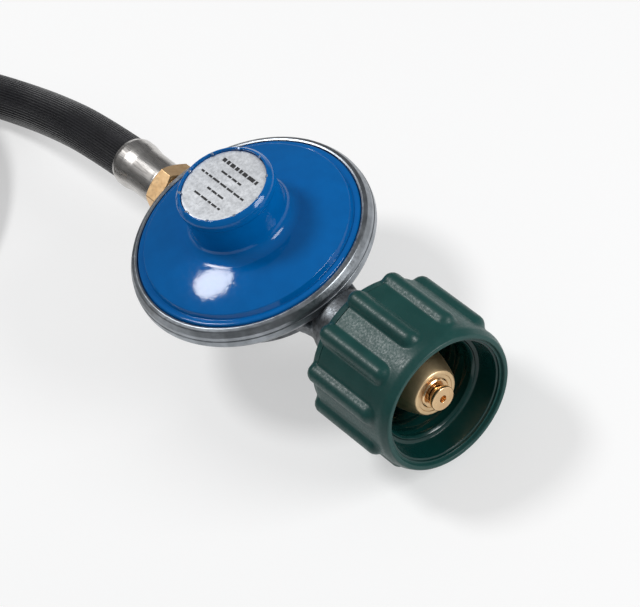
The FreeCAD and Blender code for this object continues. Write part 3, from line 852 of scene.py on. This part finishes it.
# ---------------------------------------------------------------- inlet
ogive = arc((70.5, 10.8), (82.7, 8.0), 0.42)
nipple = lathe(
    "inlet_nose",
    [
        (38, 2.2),
        (38, 6.4),
        (38.6, 7),
        (52, 7),
        (52, 9.5),
        (64, 9.5),
        (64, 13, 0.3),
        (66.4, 13, 0.3),
        (66.4, 10.8),
        *ogive,
        (84, 7.3, 0.7),
        (84, 6.2, 0.15),
        (83.75, 6.0),
        (83.75, 4.95, 0.1),
        (79, 4.9),
        (79, 4.2),
        (60, 4.2),
        (60, 2.2),
    ],
    INLET,
    columns=128,
)
finished(weighted(nipple), BRASS_TURNED, "root", ["inlet_nipple"])

bush = lathe("nose_bush", [(79, 2.9), (84.3, 2.9, 0.15), (84.3, 4.5, 0.2), (83.9, 4.9), (79, 4.9)], INLET)
finished(weighted(bush), PROBE_BRASS, "root", ["probe_bush"])

probe = lathe(
    "probe_pin",
    [
        (70, 0),
        (70, 2),
        (76.4, 2),
        (76.4, 3.9),
        (78.4, 3.9),
        (78.4, 2.6),
        (86.0, 2.6, 0.2),
        (86.0, 4.05, 0.3),
        (87.5, 4.05, 0.35),
        (87.5, 1.2, 0.1),
        (85.5, 0.9),
        (85.5, 0),
    ],
    INLET,
)
finished(weighted(probe), PROBE_BRASS, "probe", ["probe"])

# ---------------------------------------------------------------- coupling nut
THREAD_PITCH = 4.23
THREAD_DEPTH = 0.35
BARREL_RADIUS = 21.5
OUTSIDE_RIBS = 28.0
RIBS = 11
RIB = {"back": 57.2, "front": 81.3, "pitch": 22.7, "radius": 3.2, "foot": 0.9}
RIB_TURN = math.radians(-3)


def nut_columns():
    """Angles that are closer together on the flanks of each rib."""
    offsets = (0, 0.8, 1.6, 2.2, 2.6, 2.9, 3.05, 3.2, 3.35, 3.55, 3.9, 4.5, 5.4)
    half = [math.atan(x / RIB["pitch"]) for x in offsets]
    one = [-a for a in reversed(half[1:])] + half
    return [RIB_TURN + FULL_TURN * rib / RIBS + a for rib in range(RIBS) for a in one]


def ribbed(along, radius, angle):
    """The outermost point of the barrel run together with its ribs, or the bore's thread."""
    if 16.1 < radius < 16.9 and 58 < along < 80.5:
        return radius + thread(along, THREAD_PITCH, angle, THREAD_DEPTH, 59.5, 80)
    if radius < BARREL_RADIUS or not 53 < along < 86.5:
        return radius
    sector = FULL_TURN / RIBS
    offset = (angle - RIB_TURN + sector / 2) % sector - sector / 2
    beyond = along - min(max(along, RIB["back"]), RIB["front"])
    out = OUTSIDE_RIBS
    for _ in range(24):
        height, side = out * math.cos(offset) - RIB["pitch"], out * math.sin(offset)
        to_rib = math.sqrt(beyond * beyond + height * height + side * side) - RIB["radius"]
        to_barrel = out - radius
        near = max(RIB["foot"] - abs(to_rib - to_barrel), 0) / RIB["foot"]
        gap = min(to_rib, to_barrel) - near * near * RIB["foot"] / 4
        if gap < 0.004:
            break
        out -= gap
    return out


nut = lathe(
    "coupling_nut_ribbed",
    [
        (54.0, 12.3, 0.4),
        (54.0, 22.6, 0.8),
        (56.9, 23.2),
        (57.05, 22.95),
        (57.3, 22.95),
        (57.5, 23.6),
        (87.6, 23.6, 4.0),
        (90.0, 22.5, 0.6),
        (90.0, 21.2, 0.45),
        (88.9, 20.9),
        (88.9, 20.2, 0.15),
        (88.2, 20.1),
        (88.0, 19.6, 0.2),
        (81.4, 18.5, 0.3),
        (81.0, 17.3, 0.3),
        (81.5, 17.0, 0.2),
        (80.6, 16.3, 0.2),
        (58.5, 16.3),
        (58.5, 12.3),
    ],
    INLET,
    columns=nut_columns(),
    shape=ribbed,
    longest=0.55,
)
finished(nut, GREEN_NYLON, "coupling", ["coupling_nut"])
# Faces inside the mouth take the darker copy of the same plastic: painted shade inside the bore.
nut.data.materials.append(GREEN_BORE_PAINTED_SHADE)
SHADED_BORE_RADIUS = 20.4
for face in nut.data.polygons:
    place = INLET.inverted() @ (face.center / MM)
    if math.hypot(place.y, place.z) < SHADED_BORE_RADIUS and place.x > 56:
        face.material_index = 1

# ---------------------------------------------------------------- pieces inside
INSIDE = {
    "diaphragm": SOFT_RUBBER,
    "pan_upper": PLATED_STEEL,
    "pan_lower": GREY_PLASTIC,
    "diaphragm_stem": GREY_PLASTIC,
    "adjusting_screw": GREY_PLASTIC,
    "main_spring": PLATED_STEEL,
    "valve_orifice": PROBE_BRASS,
    "seat_holder": BRASS_TURNED,
    "seat_rubber": SOFT_RUBBER,
    "lever": PLATED_STEEL,
    "lever_bracket": PLATED_STEEL,
    "lever_pin": PLATED_STEEL,
    "inlet_filter": BRONZE,
    "probe_spring": PLATED_STEEL,
    "thermal_bushing": BLACK_PLASTIC,
    "hose_root": HOSE_RUBBER,
    "end_hose_root": HOSE_RUBBER,
}
for name, material in INSIDE.items():
    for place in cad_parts[name].material_slots:
        place.material = material

# ---------------------------------------------------------------- studio
floor_mesh = bpy.data.meshes.new("floor")
floor_mesh.from_pydata([(-4, -4, 0), (4, -4, 0), (4, 4, 0), (-4, 4, 0)], [], [(0, 1, 2, 3)])
floor = bpy.data.objects.new("floor", floor_mesh)
bpy.context.scene.collection.objects.link(floor)
PALE_FLOOR, _, floor_shader = new_material(
    "pale_floor", (0.5, 0.5, 0.5), roughness=0.9, specular_ior_level=0.0
)
floor_shader.inputs["Emission Color"].default_value = (1, 1, 1, 1)
floor_shader.inputs["Emission Strength"].default_value = 0.5
floor_mesh.materials.append(PALE_FLOOR)


def softbox(name, direction, distance, width, height, radiance):
    """A soft elliptical light that faces the regulator from a direction."""
    light = bpy.data.lights.new(name, "AREA")
    light.shape = "ELLIPSE"
    light.size, light.size_y = width, height
    light.energy = radiance * math.pi * width * height
    lamp = bpy.data.objects.new(name, light)
    direction = Vector(direction).normalized()
    lamp.location = CENTRE * MM + direction * distance
    lamp.rotation_mode = "QUATERNION"
    lamp.rotation_quaternion = direction.to_track_quat("Z", "Y")
    bpy.context.scene.collection.objects.link(lamp)


softbox("key", (-0.472, -0.163, 0.866), 0.9, 0.25, 0.22, 24)
softbox("side", (0.755, 0.466, 0.46), 0.9, 0.44, 0.30, 11)

world = bpy.data.worlds.new("studio")
bpy.context.scene.world = world
world.use_nodes = True
sky = world.node_tree
directions = add_node(sky, "ShaderNodeTexCoord").outputs["Generated"]
height_of = add_node(sky, "ShaderNodeSeparateXYZ", {"Vector": directions}).outputs["Z"]
glow = spread(sky, height_of, 0.06, 0.28, -0.1, 0.9)
sky.links.new(glow, sky.nodes["Background"].inputs["Strength"])
sky.nodes["Background"].inputs["Color"].default_value = (0.97, 0.985, 1.0, 1)
bpy.context.scene.view_settings.view_transform = "Standard"
